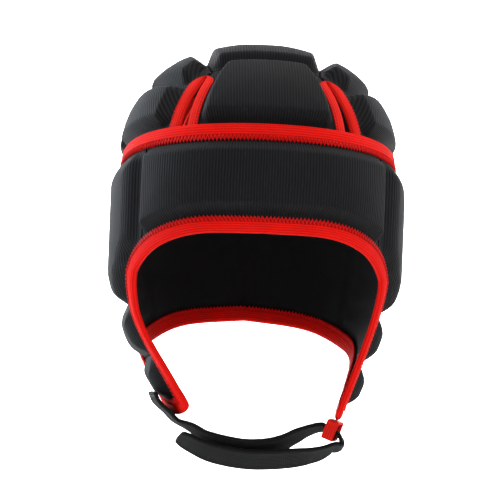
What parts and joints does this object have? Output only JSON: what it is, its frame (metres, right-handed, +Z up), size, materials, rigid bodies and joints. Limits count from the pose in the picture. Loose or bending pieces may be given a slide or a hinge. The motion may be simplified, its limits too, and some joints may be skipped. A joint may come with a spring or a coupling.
{
  "type": "rugby scrum cap",
  "caption": "Padded rugby scrum cap: moulded foam pads on a vented crown and a deep band with ear flaps, tape-bound edges and a soft chin strap that folds back through a keeper.",
  "frame": {"origin": "the inside of the crown, at the point where the top of the wearer's head touches it", "axes": "+Z up as worn, the face opening looks along -Y, +X towards the wearer's left"},
  "size_m": [0.1864, 0.2242, 0.2686],
  "materials": {
    "fabric": "black ribbed stretch knit over closed-cell foam, soft sheen",
    "tape": "red woven elastic binding tape, matt",
    "strap": "black brushed loop webbing, matt"
  },
  "bodies": {
    "root": {"crown_front_pad": "fabric", "crown_top_front_pad": "fabric", "crown_top_rear_pad": "fabric", "crown_rear_pad": "fabric", "crown_upper_front_left": "fabric", "crown_upper_front_right": "fabric", "crown_upper_rear_left": "fabric", "crown_upper_rear_right": "fabric", "crown_lower_front_left": "fabric", "crown_lower_front_right": "fabric", "crown_lower_rear_left": "fabric", "crown_lower_rear_right": "fabric", "forehead_pad": "fabric", "temple_pad_left": "fabric", "temple_pad_right": "fabric", "ear_pad_left": "fabric", "ear_pad_right": "fabric", "back_pad_left": "fabric", "back_pad_right": "fabric", "jaw_pad_left": "fabric", "jaw_pad_right": "fabric", "chin_pad_left": "fabric", "chin_pad_right": "fabric", "band_top_binding": "tape", "hem_binding": "tape", "vent_binding_front_left": "tape", "vent_binding_front_right": "tape", "vent_binding_rear_left": "tape", "vent_binding_rear_right": "tape", "strap_keeper": "tape", "chin_strap": "strap"}
  },
  "joints": []
}
